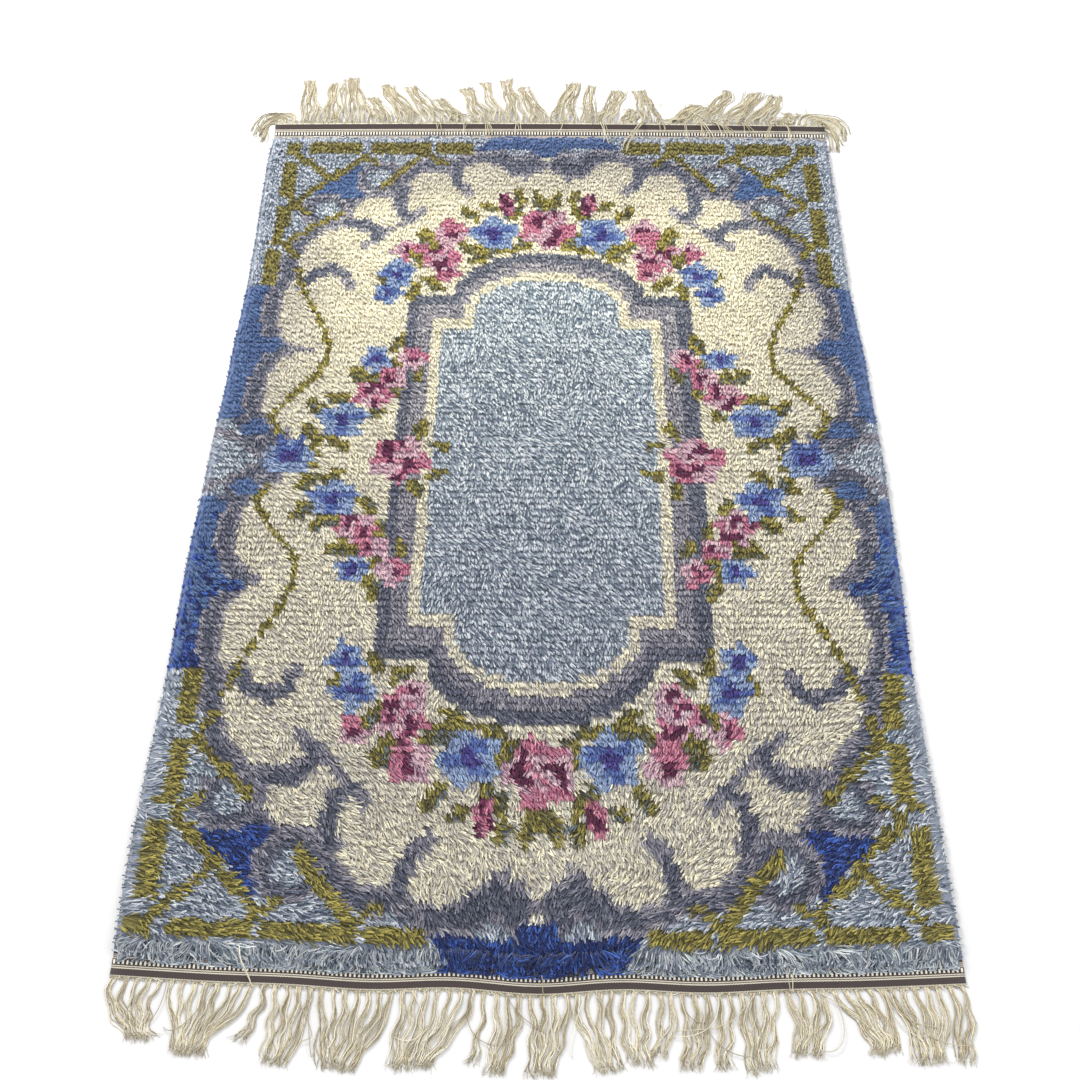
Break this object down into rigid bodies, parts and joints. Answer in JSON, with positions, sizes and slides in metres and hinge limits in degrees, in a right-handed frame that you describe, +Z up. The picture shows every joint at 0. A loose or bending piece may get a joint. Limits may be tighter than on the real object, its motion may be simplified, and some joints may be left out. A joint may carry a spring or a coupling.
{
  "type": "rya rug",
  "caption": "Flat rya rug with a long knotted wool pile on a woven ground, striped end bands and a bundled warp fringe at each end.",
  "frame": {"origin": "on the floor, under the middle of the whole rug with its fringes", "axes": "+X to the right along the rug's width, +Y along its length towards the far end, +Z up"},
  "size_m": [1.1772, 1.9898, 0.0255],
  "materials": {
    "woven_ground": "matte weave",
    "pile_wool": "soft wool",
    "warp_linen": "natural linen"
  },
  "bodies": {
    "root": {"ground_cloth": "woven_ground", "pile": "pile_wool", "fringe_near": "warp_linen", "fringe_far": "warp_linen"}
  },
  "joints": []
}
